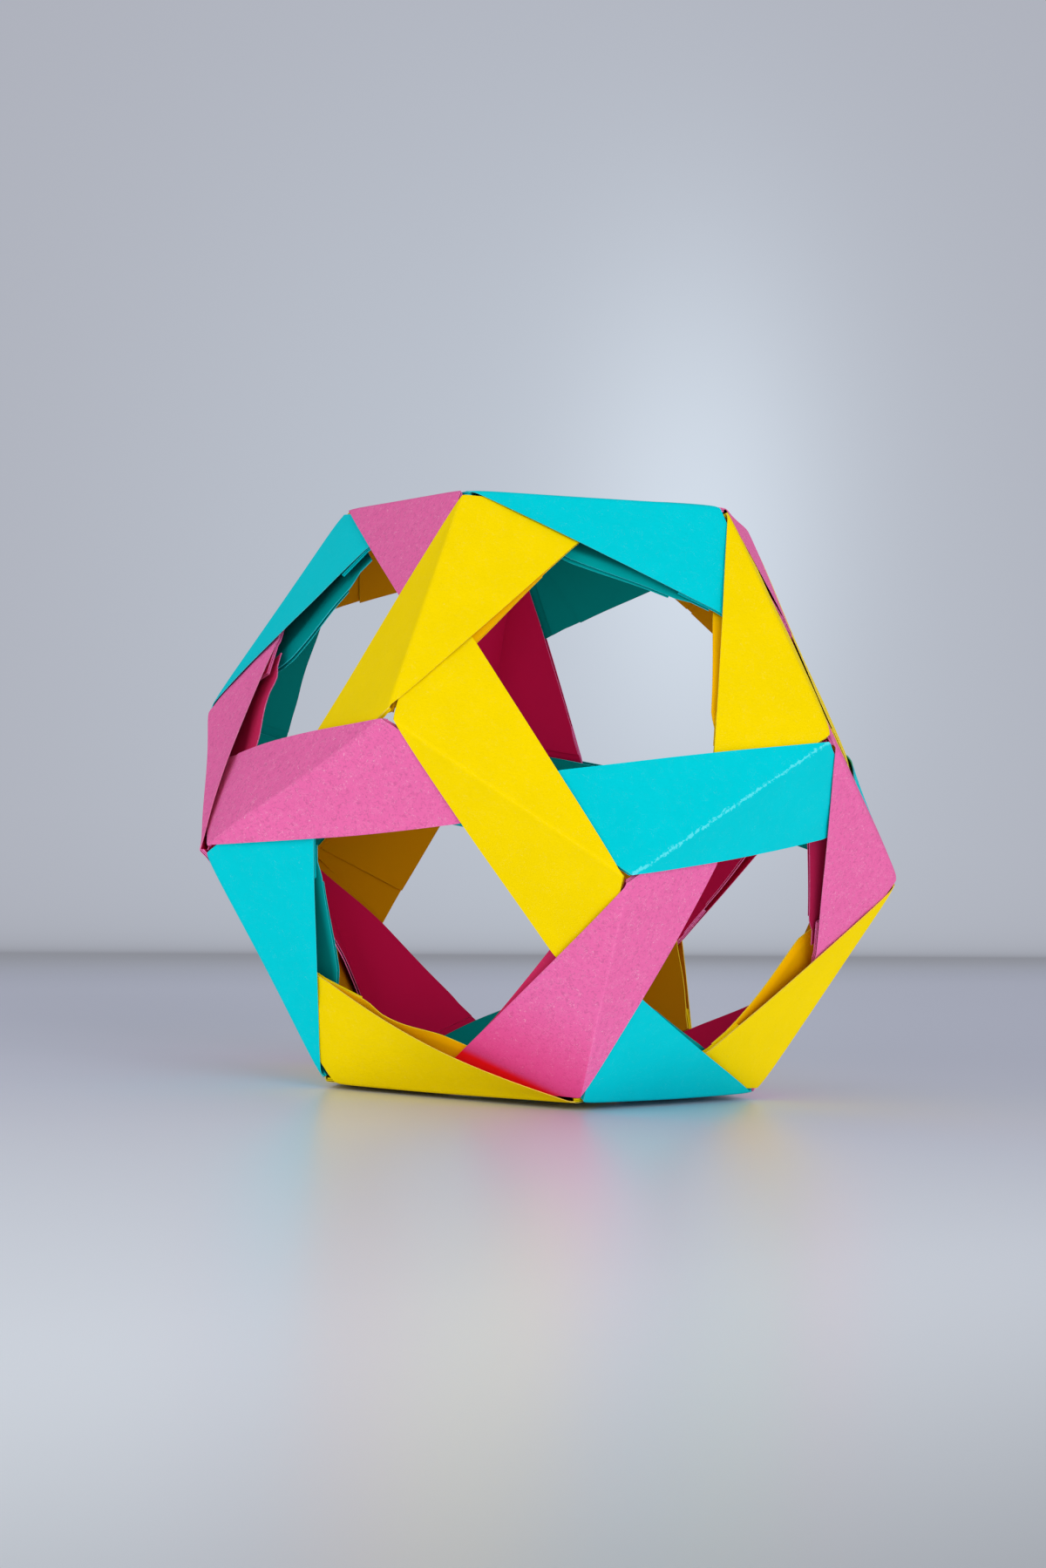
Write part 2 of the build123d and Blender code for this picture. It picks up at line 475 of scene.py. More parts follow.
def strip_pattern(width):
    """The whole strip as flat sheets that lie over each other, not yet folded. The
    crease goes from one corner of the middle, (0, 0), to the other, two widths along."""
    pattern = bmesh.new()
    pattern.verts.layers.int.new("leaf")
    outer = sized([(0, 0), (3, 0), (2, 1), (-1, 1)], width)
    inner_side = sized(INNER_OUTLINE, width)
    inner = other_half(inner_side, width) + inner_side
    loose = other_half(sized(THIRD_OUTLINE, width), width)
    flap = sized([(0, 0), (0, 1), (-1, 1)], width)
    add_leaf(pattern, outer, OUTER, width)
    add_leaf(pattern, inner, INNER, width)
    add_leaf(pattern, loose, LOOSE, width)
    for number in (FLAP_NEAR, BACK_NEAR):
        add_leaf(pattern, flap, number, width)
    for number in (FLAP_FAR, BACK_FAR):
        add_leaf(pattern, other_half(flap, width), number, width)
    return pattern


# Folding


def clamp(x):
    """The nearest number from 0 to 1."""
    return min(max(x, 0.0), 1.0)


def smooth(x):
    """A soft step from 0 to 1."""
    x = clamp(x)
    return x * x * (3 - 2 * x)


def mix(a, b, x):
    """From a to b as x goes from 0 to 1."""
    return a + (b - a) * x


class StripShape:
    """How one strip is folded: its sizes and its own small irregularities."""

    def __init__(self, settings, label, dice, flat_half):
        self.width = settings.strip_width
        self.length = math.sqrt(5) * self.width
        self.ply = settings.ply_thickness
        self.ridge = settings.ridge_radius * dice.uniform(0.8, 1.3)
        self.tuck = settings.tuck_depth
        self.valley = settings.valley_depth
        self.noise_at = Vector((dice.uniform(0, 50), dice.uniform(0, 50), dice.uniform(0, 50)))
        self.halves = {}
        for half in (1, -1):
            bulge = dice.uniform(0.2, 0.9) * MM
            if half == flat_half:
                bulge = 0.0
            self.halves[half] = {
                "bulge": bulge,
                "closed": settings.tucked_gap * dice.uniform(0.7, 1.5),
                "open": settings.pocket_gap * dice.uniform(0.75, 1.2),
                "spread": dice.uniform(0.25, 0.6),
                "loose": dice.uniform(0.25, 0.8) * MM,
                "dim": 0.0,
            }
            for key, value in zip(HALF_VALUES, LOOSE_HALVES.get((label, half), ())):
                self.halves[half][key] = value if key in ("spread", "dim") else value * MM
        self.flat_half = flat_half
        usual_end = {"pull": 0, "sink": dice.uniform(0.15, 0.45)}
        self.ends = [LOOSE_ENDS.get((label, end), usual_end) for end in ("start", "end")]

    def past_overlap(self, s, t):
        """Distance beyond the free edge of the next strip, under which this one goes."""
        hole = (ball_edge() - self.length) / 2
        corner_s, corner_t = to_strip(-hole, 0.0)
        turn = CREASE_TURN + CORNER_ANGLE
        from_s = s - corner_s - hole * math.cos(turn)
        from_t = t - corner_t - hole * math.sin(turn)
        return from_t * math.cos(CORNER_ANGLE) - from_s * math.sin(CORNER_ANGLE)

    def under_next(self, s, t):
        """0 on the part in view, 1 on the part tucked under the next strip."""
        return smooth((self.past_overlap(s, t) + STEP_START) / STEP_LENGTH)

    def on_half(self, u, v):
        """The half that a point of the pattern is on, and its place within that half."""
        half = 1 if v >= 0 else -1
        if half < 0:
            u, v = self.length - u, -v
        return half, u, v

    def fraction(self, s, t):
        """How far out a point is: 0 at the crease, 1 at the free edge."""
        crease = max(s, 0.0) / 2
        return clamp((t - crease) / max(self.width - crease, 1e-5))

    def wave(self, u, v, size, step):
        """Slow waves of the sheet, of a given height and length."""
        spot = Vector((u / step, v / step, 0)) + self.noise_at
        return size * noise.noise(spot)

    def gap(self, s, f, half):
        """Depth of the inner plies under the outer ones."""
        own = self.halves[half]
        mouth = POCKET_MOUTH * self.width
        if s < mouth:
            at_edge = mix(own["closed"], own["open"], max(s / mouth, 0.0) ** 1.15)
        else:
            past_mouth = smooth((s - mouth) / (2 * self.width - mouth))
            at_edge = mix(own["open"], self.valley + 0.1 * MM, past_mouth)
        return mix(self.valley, at_edge, f if s > 0 else smooth(2 * f))

    def place(self, u, v, z, leaf):
        """Folds one point of the flat pattern; z runs from 0 to -1 through the sheet. The
        inner plies follow most of the outer leaf's swelling in mid window, and none at
        its ends, where the strips lock."""
        half, u, v = self.on_half(u, v)
        s, t = to_strip(u, v)
        f = self.fraction(s, t)
        own = self.halves[half]
        depth = self.tuck * self.under_next(s, t)
        ridge = self.ridge
        calm = smooth(v / CALM_BY_CREASE)
        along = clamp((s / self.width + EDGE_IN_VIEW) / (2 + EDGE_IN_VIEW))
        swelling = own["bulge"] * math.sin(math.pi * along) * f ** 2
        if leaf == OUTER:
            plies = 2 if half > 0 else 1
            depth += -swelling - z * plies * self.ply
            if half != self.flat_half:
                depth += self.wave(u, v * half, *OUTER_WAVE) * calm
        elif leaf in (INNER, LOOSE):
            ridge = INNER_RIDGE_RADIUS
            reach = self.gap(s, f, half)
            follow = smooth(4 * s / self.width) * (1 - smooth((2 * s / self.width) - 0.6))
            depth += reach - SHARED_SWELLING * swelling * follow
            depth += self.wave(u, v * half + 1, *INNER_WAVE) * calm * f
            push = own["spread"] * max(reach - CLOSE_GAP, 0.0) * f * smooth(s / (3 * MM) + 1)
            push *= 1 - smooth((s / self.width - CLOSING_START) / CLOSING_LENGTH)
            plies = 2
            if leaf == LOOSE:
                opened = own["loose"] * f * mix(0.4, 1.0, clamp(s / self.width))
                depth += plies * self.ply + THIRD_PLY_AIR + opened
                push += 0.7 * opened
                plies = 1
            depth -= z * plies * self.ply
            u += push * math.sin(CREASE_TURN)
            v += push * math.cos(CREASE_TURN)
        elif leaf in (FLAP_NEAR, FLAP_FAR):
            depth += (FLAP_DEPTH - z * FLAP_PLIES) * self.ply
        else:
            depth += (BACK_DEPTH + BACK_SLOPE * f - z * BACK_PLIES) * self.ply
        start, end = self.ends[half < 0], self.ends[half > 0]
        for far, way, corner in ((u, 1, start), (self.length - u, -1, end)):
            sunk = math.exp(-max(far, 0.0) / SINK_ALONG - v / SINK_ACROSS)
            depth += corner["sink"] * MM * sunk
            u += way * corner["pull"] * MM * math.exp(-(abs(far) + v) / PULL_REACH)
        point = self.over_crease(v, depth, ridge)
        if half < 0:
            return Vector((self.length / 2 - u, -point[0], point[1]))
        return Vector((u - self.length / 2, point[0], point[1]))

    def over_crease(self, v, depth, radius):
        """Section across the crease: two flat sides joined by a soft bend."""
        bend = radius * math.tan(FACE_SLOPE)
        if v < bend:
            turn = FACE_SLOPE * v / bend
            y = radius * math.sin(turn)
            z = radius * math.cos(turn) - radius / math.cos(FACE_SLOPE)
        else:
            turn = FACE_SLOPE
            y = v * math.cos(turn)
            z = -v * math.sin(turn)
        return (y - depth * math.sin(turn), z - depth * math.cos(turn))


def mark_faces(strip, offset, rubbing):
    """Stores what the paper's look needs to know of each face, while the strip is flat.
    The paper map starts at the offset, so that no two strips have the same mottling."""
    leaf_layer = strip.verts.layers.int["leaf"]
    sheet_uv = strip.loops.layers.uv.new("sheet")
    crease_uv = strip.loops.layers.uv.new("crease")
    rim_layer = strip.faces.layers.float.new("cut_edge")
    painted_shade_layer = strip.faces.layers.float.new("hollow")
    rubbing_layer = strip.faces.layers.float.new("rubbing")
    pocket_layer = strip.faces.layers.float.new("pocket")
    for face in strip.faces:
        face.smooth = True
        leaf = face.verts[0][leaf_layer]
        upward = face.normal.z
        face[rim_layer] = RIM_PALENESS.get(leaf, 0.0) if abs(upward) < 0.5 else 0.0
        # Masks for painted light and shade: the upper sides of the inner plies, in the pockets,
        # and the undersides of all sheets, which face into the ball
        face[pocket_layer] = 1.0 if upward > 0.5 and leaf != OUTER else 0.0
        face[painted_shade_layer] = 1.0 if upward < -0.5 else 0.0
        face[rubbing_layer] = rubbing
        for loop in face.loops:
            u, v = loop.vert.co.x, loop.vert.co.y
            loop[sheet_uv].uv = (u / CM + offset, v / CM + SHEET_STEP * leaf)
            loop[crease_uv].uv = (u / CM, v / MM if leaf == OUTER else NO_CREASE)


def fold(strip, shape, warm_half):
    """Folds every point of the strip, and stores how far out on its leaf it lies."""
    leaf_layer = strip.verts.layers.int["leaf"]
    edge_layer = strip.verts.layers.float.new("toward_edge")
    overlap_layer = strip.verts.layers.float.new("overlap")
    for vert in strip.verts:
        half, u, v = shape.on_half(vert.co.x, vert.co.y)
        s, t = to_strip(u, v)
        vert[edge_layer] = shape.fraction(s, t) - shape.halves[half]["dim"]
        lit = half == warm_half and vert[leaf_layer] == OUTER
        vert[overlap_layer] = shape.past_overlap(s, t) / MM if lit else NO_OVERLAP
        vert.co = shape.place(*vert.co, vert[leaf_layer])


def add_piece(name, strip, colour):
    """Makes a folded strip a piece of the ball, in its paper, and lets it ride."""
    mesh = bpy.data.meshes.new(name)
    strip.to_mesh(mesh)
    strip.free()
    mesh.set_sharp_from_angle(angle=math.radians(40))
    mesh.materials.append(paper_for(colour))
    piece = bpy.data.objects.new(name, mesh)
    bpy.context.scene.collection.objects.link(piece)
    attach(piece, "root")
    return piece


# Paper


class Nodes:
    """Short ways to add and join shader nodes."""

    def __init__(self, owner):
        owner.use_nodes = True
        self.tree = owner.node_tree
        self.tree.nodes.clear()

    def add(self, kind, **values):
        """A new node, with its own settings filled in."""
        node = self.tree.nodes.new(kind)
        for key, value in values.items():
            setattr(node, key, value)
        return node

    def join(self, source, target):
        """Links an output to an input."""
        self.tree.links.new(source, target)

    def attribute(self, name):
        """A number stored with the mesh."""
        return self.add("ShaderNodeAttribute", attribute_name=name).outputs["Fac"]

    def emission(self, colour, strength=1.0):
        """Light of a colour, which is either a tuple or comes from another node."""
        node = self.add("ShaderNodeEmission")
        self.fill(node.inputs["Color"], colour)
        node.inputs["Strength"].default_value = strength
        return node.outputs["Emission"]

    def fill(self, socket, value):
        """Joins another node's output to a socket, or sets its constant."""
        if isinstance(value, (int, float)):
            socket.default_value = value
        elif isinstance(value, (tuple, list)):
            socket.default_value = (*value[:3], 1)
        else:
            self.join(value, socket)

    def seen_directly(self):
        """1 for what the camera sees, straight or mirrored, and 0 for other light."""
        rays = self.add("ShaderNodeLightPath")
        return self.math("MAXIMUM", rays.outputs["Is Camera Ray"], rays.outputs["Is Glossy Ray"])

    def noise(self, where, scale, detail=2.0, distortion=0.0, roughness=0.5):
        """Soft noise between 0 and 1."""
        node = self.add("ShaderNodeTexNoise")
        node.inputs["Scale"].default_value = scale
        node.inputs["Detail"].default_value = detail
        node.inputs["Distortion"].default_value = distortion
        node.inputs["Roughness"].default_value = roughness
        self.join(where, node.inputs["Vector"])
        return node.outputs["Fac"]

    def ramp(self, value, low, high, start=0.0, end=1.0):
        """Runs smoothly from one number to another while the value goes from low to high."""
        node = self.add("ShaderNodeMapRange", interpolation_type="SMOOTHSTEP")
        self.join(value, node.inputs["Value"])
        node.inputs["From Min"].default_value = low
        node.inputs["From Max"].default_value = high
        node.inputs["To Min"].default_value = start
        node.inputs["To Max"].default_value = end
        return node.outputs["Result"]

    def math(self, operation, first, second=0):
        """One step of arithmetic."""
        node = self.add("ShaderNodeMath", operation=operation)
        self.fill(node.inputs[0], first)
        self.fill(node.inputs[1], second)
        return node.outputs["Value"]

    def dot(self, value, vector):
        """How far a place lies along a constant vector."""
        node = self.add("ShaderNodeVectorMath", operation="DOT_PRODUCT")
        self.join(value, node.inputs[0])
        node.inputs[1].default_value = vector
        return node.outputs["Value"]

    def blend(self, amount, first, second):
        """Goes over from one shader to another."""
        node = self.add("ShaderNodeMixShader")
        for socket, value in zip(node.inputs, (amount, first, second)):
            self.join(value, socket)
        return node.outputs["Shader"]

    def tint(self, base, colour, amount):
        """Goes over from one colour to another. The node's colour sockets share their
        names with its number sockets, so they are taken by their place."""
        node = self.add("ShaderNodeMix", data_type="RGBA")
        self.join(amount, node.inputs["Factor"])
        self.fill(node.inputs[6], base)
        self.fill(node.inputs[7], colour)
        return node.outputs[2]


def lighter(colour, amount):
    """The colour with some white in it."""
    return tuple(mix(c, 1.0, amount) for c in colour)


def darker(colour, amount):
    """The colour with some of its light taken away."""
    return tuple(c * (1 - amount) for c in colour)


def hair_lines(nodes, where, scale, width, cover):
    """Short curved fibres: thin level lines of one noise, broken up by another."""
    lines = nodes.noise(where, scale, 1.0, 1.8)
    away = nodes.math("ABSOLUTE", nodes.math("SUBTRACT", lines, 0.5))
    thin = nodes.ramp(away, 0, width, 1.0, 0.0)
    patches = nodes.ramp(nodes.noise(where, scale * 0.55, 2.0, 0.4), cover, cover + 0.06)
    return nodes.math("MULTIPLY", thin, patches)


def pulp(nodes, sheet, colour, fibres):
    """The paper's own colour: cloudy, grainy and crossed by pale and dark fibres."""
    cloud = nodes.ramp(nodes.noise(sheet, 1.1, 3.0), 0.3, 0.7)
    base = nodes.tint(darker(colour, 0.03), colour, cloud)
    grain = nodes.ramp(nodes.noise(sheet, 42.0, 2.0), 0.55, 0.8, 0, 0.5)
    base = nodes.tint(base, darker(colour, 0.16), grain)
    flecks = nodes.ramp(nodes.noise(sheet, 15.0, 3.0, 1.2), 0.5, 0.68, 0.0, fibres)
    base = nodes.tint(base, darker(colour, 0.2), flecks)
    pale_lines = nodes.math("MULTIPLY", hair_lines(nodes, sheet, 9.0, 0.012, 0.46), fibres)
    base = nodes.tint(base, lighter(colour, 0.35), pale_lines)
    dark_lines = nodes.math("MULTIPLY", hair_lines(nodes, sheet, 12.0, 0.013, 0.47), 0.8 * fibres)
    return nodes.tint(base, darker(colour, 0.45), dark_lines)


def rubbed_line(nodes, sheet):
    """1 along the crease where it is rubbed pale: a ragged and broken line."""
    crease = nodes.add("ShaderNodeUVMap", uv_map="crease").outputs["UV"]
    rubbing = nodes.attribute("rubbing")
    split = nodes.add("ShaderNodeSeparateXYZ")
    nodes.join(crease, split.inputs["Vector"])
    away = nodes.math("ABSOLUTE", split.outputs["Y"])
    ragged = nodes.math("MULTIPLY", nodes.noise(sheet, 10.0, 4.0, 0.8, 0.7), 2.8)
    patches = nodes.math("MULTIPLY", nodes.noise(sheet, 0.9, 1.0), 0.9)
    worn = nodes.math("ADD", nodes.math("SUBTRACT", ragged, 1.65), patches)
    reach = nodes.math("MULTIPLY", worn, nodes.math("ADD", rubbing, 0.25))
    line = nodes.ramp(nodes.math("SUBTRACT", away, reach), -0.2, 0.08, 1.0, 0.0)
    return nodes.math("MULTIPLY", line, rubbing)


def between_plies(nodes, base, shaded, between, gloom):
    """Tints the inner plies by the light that reaches them: coloured in the pocket, and
    gloomy further in from the free edge."""
    pocket = nodes.attribute("pocket")
    base = nodes.tint(base, between, nodes.math("MULTIPLY", pocket, 0.85))
    deep = nodes.ramp(nodes.attribute("toward_edge"), 0.83, 0.92, gloom, 0.0)
    return nodes.tint(base, darker(shaded, 0.6), nodes.math("MULTIPLY", deep, pocket))


def warm_end(nodes, base):
    """Tints a tucked end with painted light reflected from the strip that it goes under, in that
    strip's colour.
    """
    overlap = nodes.attribute("overlap")
    base = nodes.tint(base, WARM_COLOUR, nodes.ramp(overlap, -24.0, 3.0, 0.0, 0.75))
    closeness = nodes.ramp(overlap, -1.4, 1.1)
    return nodes.tint(base, HOT_COLOUR, nodes.math("MULTIPLY", closeness, closeness))


def paper(name, colour, shaded, between, fibres, gloom):
    """Uncoated coloured paper: mottled pulp, fibres, rubbed crease, paler cut edges, painted
    light and shade.
    """
    material = bpy.data.materials.new(name)
    nodes = Nodes(material)
    sheet = nodes.add("ShaderNodeUVMap", uv_map="sheet").outputs["UV"]
    base = pulp(nodes, sheet, colour, fibres)
    rubbed_colour = lighter(tuple(1.15 * c for c in colour), 0.1)
    base = nodes.tint(base, rubbed_colour, rubbed_line(nodes, sheet))
    rim = nodes.math("MULTIPLY", nodes.attribute("cut_edge"), 0.6)
    base = nodes.tint(base, lighter(colour, 0.25), rim)
    # Painted shade on the sides of the sheets that face into the ball
    base = nodes.tint(base, shaded, nodes.attribute("hollow"))
    base = between_plies(nodes, base, shaded, between, gloom)
    base = warm_end(nodes, base)
    bump = nodes.add("ShaderNodeBump")
    bump.inputs["Strength"].default_value = 0.35
    bump.inputs["Distance"].default_value = 0.03 * MM
    nodes.join(nodes.noise(sheet, 26.0, 4.0, 0.3, 0.6), bump.inputs["Height"])
    shader = nodes.add("ShaderNodeBsdfPrincipled")
    roughness = nodes.ramp(nodes.noise(sheet, 42.0, 2.0), 0.3, 0.7, 0.56, 0.68)
    nodes.join(base, shader.inputs["Base Color"])
    nodes.join(roughness, shader.inputs["Roughness"])
    nodes.join(bump.outputs["Normal"], shader.inputs["Normal"])
    shader.inputs["Specular IOR Level"].default_value = 0.02
    output = nodes.add("ShaderNodeOutputMaterial")
    nodes.join(shader.outputs["BSDF"], output.inputs["Surface"])
    return material


# How strongly fibres show in each paper, and how dark the painted shade between the plies is
FIBRES = {"yellow": 0.12, "pink": 0.95, "turquoise": 0.10}
GLOOM = {"yellow": 0.15, "pink": 0.65, "turquoise": 0.8}


def paper_for(colour_name):
    """The material of one paper colour, made the first time it is asked for."""
    name = f"{colour_name}_folded_paper"
    if name in bpy.data.materials:
        return bpy.data.materials[name]
    settings = bpy.context.scene.paper_ball
    colour = tuple(getattr(settings, colour_name))
    # The paper in painted shade, where it faces into the ball; pink and turquoise inner plies
    # take it in their pockets too, yellow ones take painted light from the ply in front
    shaded = tuple(getattr(settings, colour_name + "_inside"))
    between = tuple(settings.yellow_between) if colour_name == "yellow" else shaded
    return paper(name, colour, shaded, between, FIBRES[colour_name], GLOOM[colour_name])


# Operators


def add_ring(ring):
    """Folds and places every strip of one ring."""
    settings = bpy.context.scene.paper_ball
    pattern = strip_pattern(settings.strip_width)
    flat_half = STANDING_HALF if ring == "bottom" else None
    for number, ((start, end), letter) in enumerate(zip(strip_edges(ring), RINGS[ring]), 1):
        colour = COLOUR_NAMES[letter]
        node = f"{ring}_unit_{number}_{colour}"
        label = f"{ring}_{number}"
        dice = random.Random(f"{settings.seed} {node}")
        shape = StripShape(settings, label, dice, flat_half)
        offset = STRIP_STEP * (10 * list(RINGS).index(ring) + number)
        strip = pattern.copy()
        mark_faces(strip, offset, RUBBED.get(label, dice.uniform(0.04, 0.14)))
        fold(strip, shape, WARM_HALVES.get(label))
        bmesh.ops.transform(strip, matrix=strip_place(start, end), verts=strip.verts)
        slip_corners(strip)
        piece = add_piece(f"{ring}_strip_{number}_{colour}", strip, colour)
        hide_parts(node)
    pattern.free()


class PAPER_OT_bottom_ring(bpy.types.Operator):
    """Fold the strips of the pentagon that stands on the table"""

    bl_idname = "paper_ball.bottom_ring"
    bl_label = "Bottom Ring"

    def execute(self, context):
        add_ring("bottom")
        return {"FINISHED"}


class PAPER_OT_lower_ring(bpy.types.Operator):
    """Fold the strips that rise from the bottom pentagon"""

    bl_idname = "paper_ball.lower_ring"
    bl_label = "Lower Ring"

    def execute(self, context):
        add_ring("lower")
        return {"FINISHED"}


class PAPER_OT_belt(bpy.types.Operator):
    """Fold the zigzag of strips round the middle"""

    bl_idname = "paper_ball.belt"
    bl_label = "Belt"

    def execute(self, context):
        add_ring("belt")
        return {"FINISHED"}


class PAPER_OT_upper_ring(bpy.types.Operator):
    """Fold the strips that rise to the top pentagon"""

    bl_idname = "paper_ball.upper_ring"
    bl_label = "Upper Ring"

    def execute(self, context):
        add_ring("upper")
        return {"FINISHED"}


class PAPER_OT_top_ring(bpy.types.Operator):
    """Fold the strips of the top pentagon"""

    bl_idname = "paper_ball.top_ring"
    bl_label = "Top Ring"

    def execute(self, context):
        add_ring("top")
        return {"FINISHED"}


def camera_place(stage):
    """Where the camera stands, and its directions to the right, upwards and ahead."""
    pan, pitch, roll = stage.camera_pan, stage.camera_pitch, stage.camera_roll
    reach = math.cos(pitch)
    ahead = Vector((math.sin(pan) * reach, math.cos(pan) * reach, math.sin(pitch)))
    level = Vector((math.cos(pan), -math.sin(pan), 0))
    rise = level.cross(ahead)
    right = level * math.cos(roll) + rise * math.sin(roll)
    up = rise * math.cos(roll) - level * math.sin(roll)
    spot = Vector((0, -stage.camera_distance, stage.camera_height))
    around = Matrix.Rotation(stage.camera_turn, 3, "Z")
    return [around @ vector for vector in (spot, right, up, ahead)]


def pale_patch(nodes, stage, way, place, size):
    """A soft oval patch of the backdrop, 1 in its middle, for the direction looked in."""
    _, right, up, ahead = camera_place(stage)
    middle = (ahead + right * place[0] + up * place[1]).normalized()
    parts = []
    for axis, reach in zip((right, up), size):
        along = nodes.dot(way, axis / reach)
        off = nodes.math("SUBTRACT", along, middle.dot(axis) / reach)
        parts.append(nodes.math("MULTIPLY", off, off))
    spread = nodes.math("ADD", *parts)
    patch = nodes.math("EXPONENT", nodes.math("MULTIPLY", spread, -1))
    return nodes.math("MULTIPLY", patch, nodes.ramp(nodes.dot(way, middle), 0.3, 0.8))


def backdrop_colour(nodes, stage, way):
    """The backdrop's colour in one direction: grey, with a broad patch and a streak of painted
    light.
    """
    patch = pale_patch(nodes, stage, way, PATCH_PLACE, PATCH_SIZE)
    streak = pale_patch(nodes, stage, way, STREAK_PLACE, STREAK_SIZE)
    colour = nodes.tint(tuple(stage.wall_colour), tuple(stage.patch_colour), patch)
    return nodes.tint(colour, tuple(stage.glow_colour), streak)


def way_from(nodes, place, spot):
    """The direction in which a place is seen from a fixed spot."""
    offset = nodes.add("ShaderNodeVectorMath", operation="SUBTRACT")
    nodes.join(place, offset.inputs[0])
    offset.inputs[1].default_value = spot
    way = nodes.add("ShaderNodeVectorMath", operation="NORMALIZE")
    nodes.join(offset.outputs["Vector"], way.inputs[0])
    return way.outputs["Vector"]


def table_shader(nodes, stage, place, distance, shade):
    """The table near the ball: a painted pool of light in front, darker towards the right,
    painted shade along the line behind it, and a soft sheen."""
    _, right, _, ahead = camera_place(stage)
    # Painted pool of light on the table in front of the ball
    nearness = nodes.ramp(nodes.dot(place, -ahead), -0.15, 0.38)
    table = nodes.tint(tuple(stage.floor_colour), tuple(stage.pool_colour), nearness)
    near_right = nodes.ramp(nodes.dot(place, 0.83 * right - ahead), 0.24, 0.52)
    by_ball = nodes.ramp(distance, 0.42, 0.7, 1.0, 0.0)
    dim = nodes.math("MULTIPLY", near_right, by_ball)
    table = nodes.tint(table, darker(stage.pool_colour, 0.8), dim)
    # Painted shade along the line behind the ball
    table = nodes.tint(table, darker(stage.floor_colour, 0.4), shade)
    shader = nodes.add("ShaderNodeBsdfPrincipled")
    nodes.join(table, shader.inputs["Base Color"])
    shader.inputs["Roughness"].default_value = 0.33
    shader.inputs["Specular IOR Level"].default_value = 0.5
    return shader.outputs["BSDF"]


def floor_material(stage):
    """Pale table that passes over into the backdrop along a level line behind the ball.
    Light other than what the camera sees comes up from it evenly, except under the ball."""
    material = bpy.data.materials.new("pale_floor")
    nodes = Nodes(material)
    place = nodes.add("ShaderNodeTexCoord").outputs["Object"]
    length = nodes.add("ShaderNodeVectorMath", operation="LENGTH")
    nodes.join(place, length.inputs[0])
    distance = length.outputs["Value"]
    depth = nodes.dot(place, TABLE_LINE_SIDE)
    past = nodes.math("MAXIMUM", nodes.math("SUBTRACT", depth, TABLE_LINE_AT), 0)
    beyond = nodes.math("DIVIDE", TABLE_LINE_BLUR, nodes.math("ADD", past, TABLE_LINE_BLUR))
    shade = nodes.math("MULTIPLY", nodes.ramp(depth, 0.25, TABLE_LINE_AT), beyond)
    table = table_shader(nodes, stage, place, distance, shade)
    wall = backdrop_colour(nodes, stage, way_from(nodes, place, camera_place(stage)[0]))
    # Painted shade along the foot of the backdrop, by the line
    wall = nodes.tint(wall, darker(stage.wall_colour, 0.36), shade)
    behind = nodes.ramp(depth, 0.3, TABLE_LINE_AT)
    far = nodes.math("MAXIMUM", behind, nodes.ramp(distance, 0.62, 1.0))
    seen = nodes.blend(far, table, nodes.emission(wall))
    clear_of_ball = nodes.ramp(distance, 0.042, 0.056)
    lit = nodes.blend(clear_of_ball, table, nodes.emission(BOUNCE_TINT, stage.bounce))
    output = nodes.add("ShaderNodeOutputMaterial")
    nodes.join(nodes.blend(nodes.seen_directly(), lit, seen), output.inputs["Surface"])
    return material


def add_floor(stage):
    """A wide round floor."""
    disc = bmesh.new()
    bmesh.ops.create_circle(disc, cap_ends=True, segments=128, radius=FLOOR_RADIUS)
    mesh = bpy.data.meshes.new("floor")
    disc.to_mesh(mesh)
    disc.free()
    mesh.materials.append(floor_material(stage))
    floor = bpy.data.objects.new("floor", mesh)
    bpy.context.scene.collection.objects.link(floor)


def add_sky(stage):
    """Even white light all round; the camera sees the pale backdrop instead."""
    world = bpy.data.worlds.new("even_sky")
    nodes = Nodes(world)
    way = nodes.add("ShaderNodeTexCoord").outputs["Generated"]
    light = nodes.add("ShaderNodeBackground")
    light.inputs["Color"].default_value = SKY_TINT
    light.inputs["Strength"].default_value = stage.sky_strength
    backdrop = nodes.add("ShaderNodeBackground")
    nodes.join(backdrop_colour(nodes, stage, way), backdrop.inputs["Color"])
    shown = nodes.blend(nodes.seen_directly(), light.outputs["Background"],
                        backdrop.outputs["Background"])
    output = nodes.add("ShaderNodeOutputWorld")
    nodes.join(shown, output.inputs["Surface"])
    bpy.context.scene.world = world


def add_area(name, power, size, location):
    """A large soft lamp that looks at the ball and isn't seen itself."""
    lamp = bpy.data.lights.new(name, "AREA")
    lamp.energy = power
    lamp.size = size
    holder = bpy.data.objects.new(name, lamp)
    bpy.context.scene.collection.objects.link(holder)
    aim = Vector(location) - Vector(LAMP_TARGET)
    holder.location = location
    holder.rotation_euler = aim.to_track_quat("Z", "Y").to_euler()
    holder.visible_camera = False
    holder.visible_glossy = False


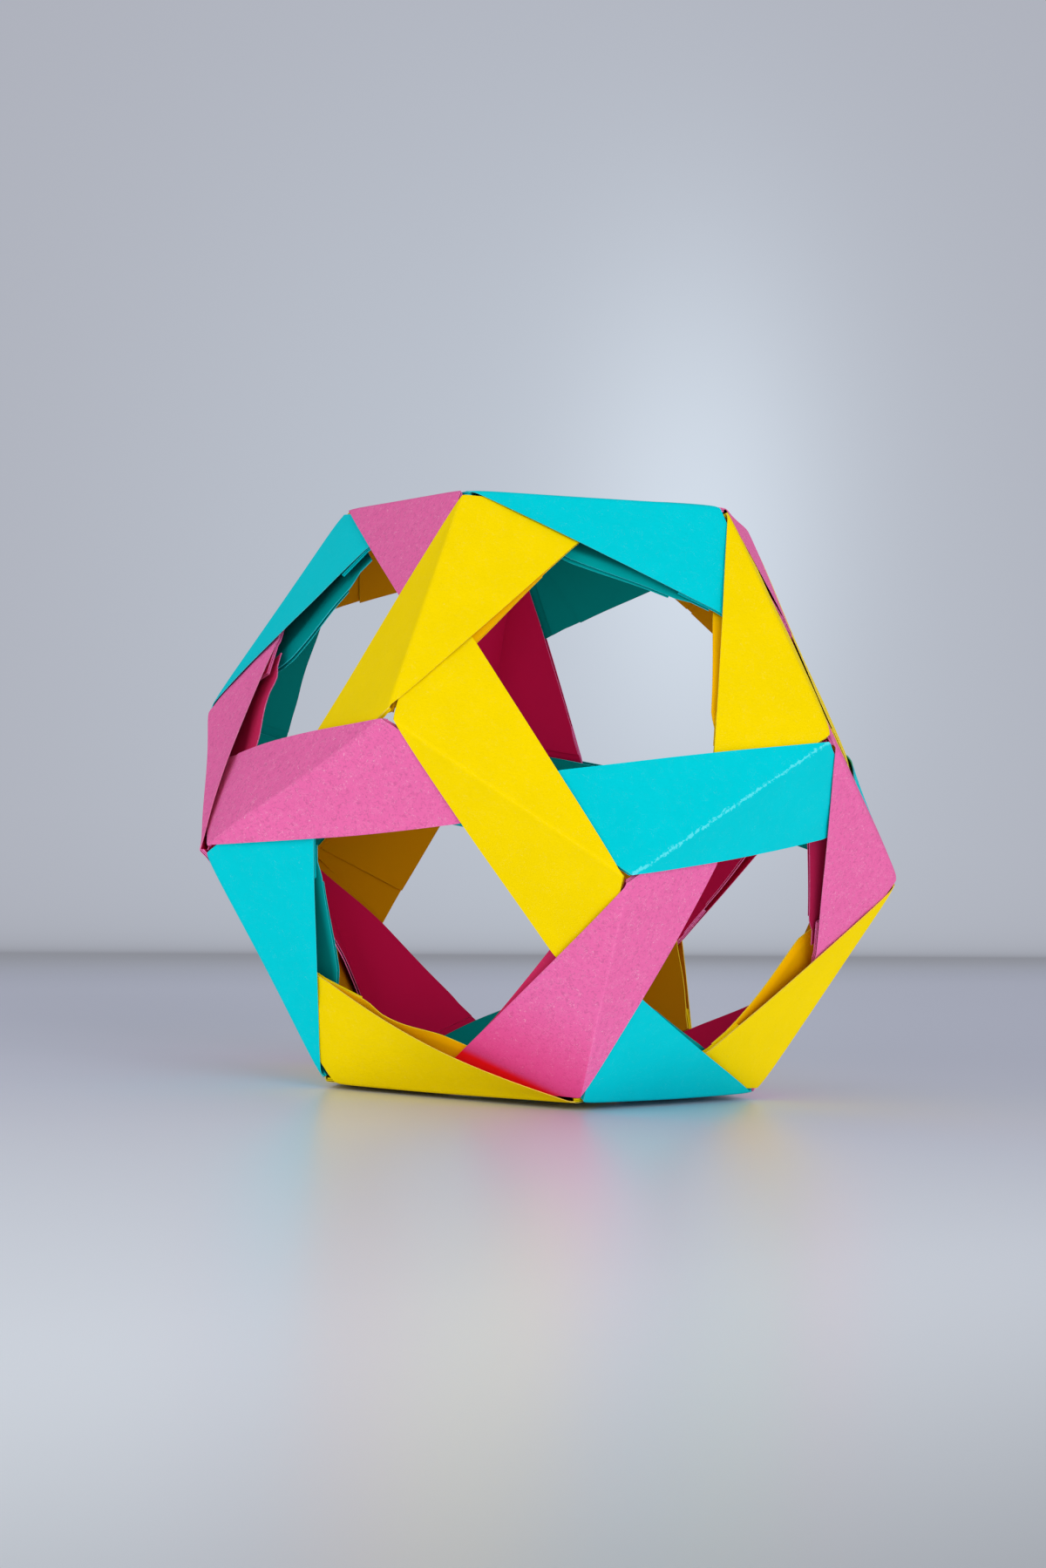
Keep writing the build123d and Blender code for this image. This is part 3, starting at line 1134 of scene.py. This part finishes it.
def add_camera(stage):
    """The camera at the photograph's viewing angle."""
    spot, right, up, ahead = camera_place(stage)
    lens = bpy.data.cameras.new("camera")
    lens.sensor_fit = "HORIZONTAL"
    lens.sensor_width = 36
    lens.lens = stage.lens
    lens.clip_start = 0.01
    lens.clip_end = 20
    camera = bpy.data.objects.new("camera", lens)
    bpy.context.scene.collection.objects.link(camera)
    camera.matrix_world = Matrix((right, up, -ahead)).transposed().to_4x4()
    camera.location = spot
    bpy.context.scene.camera = camera


class PAPER_OT_stage(bpy.types.Operator):
    """Lay the floor and set the lamps and the camera"""

    bl_idname = "paper_ball.stage"
    bl_label = "Stage"

    def execute(self, context):
        scene = context.scene
        stage = scene.paper_ball_stage
        add_floor(stage)
        add_sky(stage)
        add_area("key_lamp", stage.key_power, KEY_SIZE, KEY_PLACE)
        add_area("fill_lamp", stage.fill_power, FILL_SIZE, FILL_PLACE)
        add_camera(stage)
        scene.view_settings.view_transform = "Standard"
        return {"FINISHED"}


class PAPER_PT_sidebar(bpy.types.Panel):
    """Sizes, colours and steps of the paper ball"""

    bl_label = "Paper Ball"
    bl_idname = "PAPER_PT_sidebar"
    bl_space_type = "VIEW_3D"
    bl_region_type = "UI"
    bl_category = "Paper Ball"

    def draw(self, context):
        layout = self.layout
        for settings in (context.scene.paper_ball, context.scene.paper_ball_stage):
            for name in settings.__annotations__:
                layout.prop(settings, name)
        for step in STEPS:
            layout.operator(step.bl_idname)


STEPS = (PAPER_OT_bottom_ring, PAPER_OT_lower_ring, PAPER_OT_belt, PAPER_OT_upper_ring,
         PAPER_OT_top_ring, PAPER_OT_stage)
CLASSES = (PaperBallSettings, PaperStageSettings, *STEPS, PAPER_PT_sidebar)


def register():
    for item in CLASSES:
        bpy.utils.register_class(item)
    bpy.types.Scene.paper_ball = PointerProperty(type=PaperBallSettings)
    bpy.types.Scene.paper_ball_stage = PointerProperty(type=PaperStageSettings)


def unregister():
    del bpy.types.Scene.paper_ball_stage
    del bpy.types.Scene.paper_ball
    for item in reversed(CLASSES):
        bpy.utils.unregister_class(item)


def main():
    register()
    bpy.ops.paper_ball.bottom_ring()
    bpy.ops.paper_ball.lower_ring()
    bpy.ops.paper_ball.belt()
    bpy.ops.paper_ball.upper_ring()
    bpy.ops.paper_ball.top_ring()
    bpy.ops.paper_ball.stage()


if __name__ == "__main__":
    main()
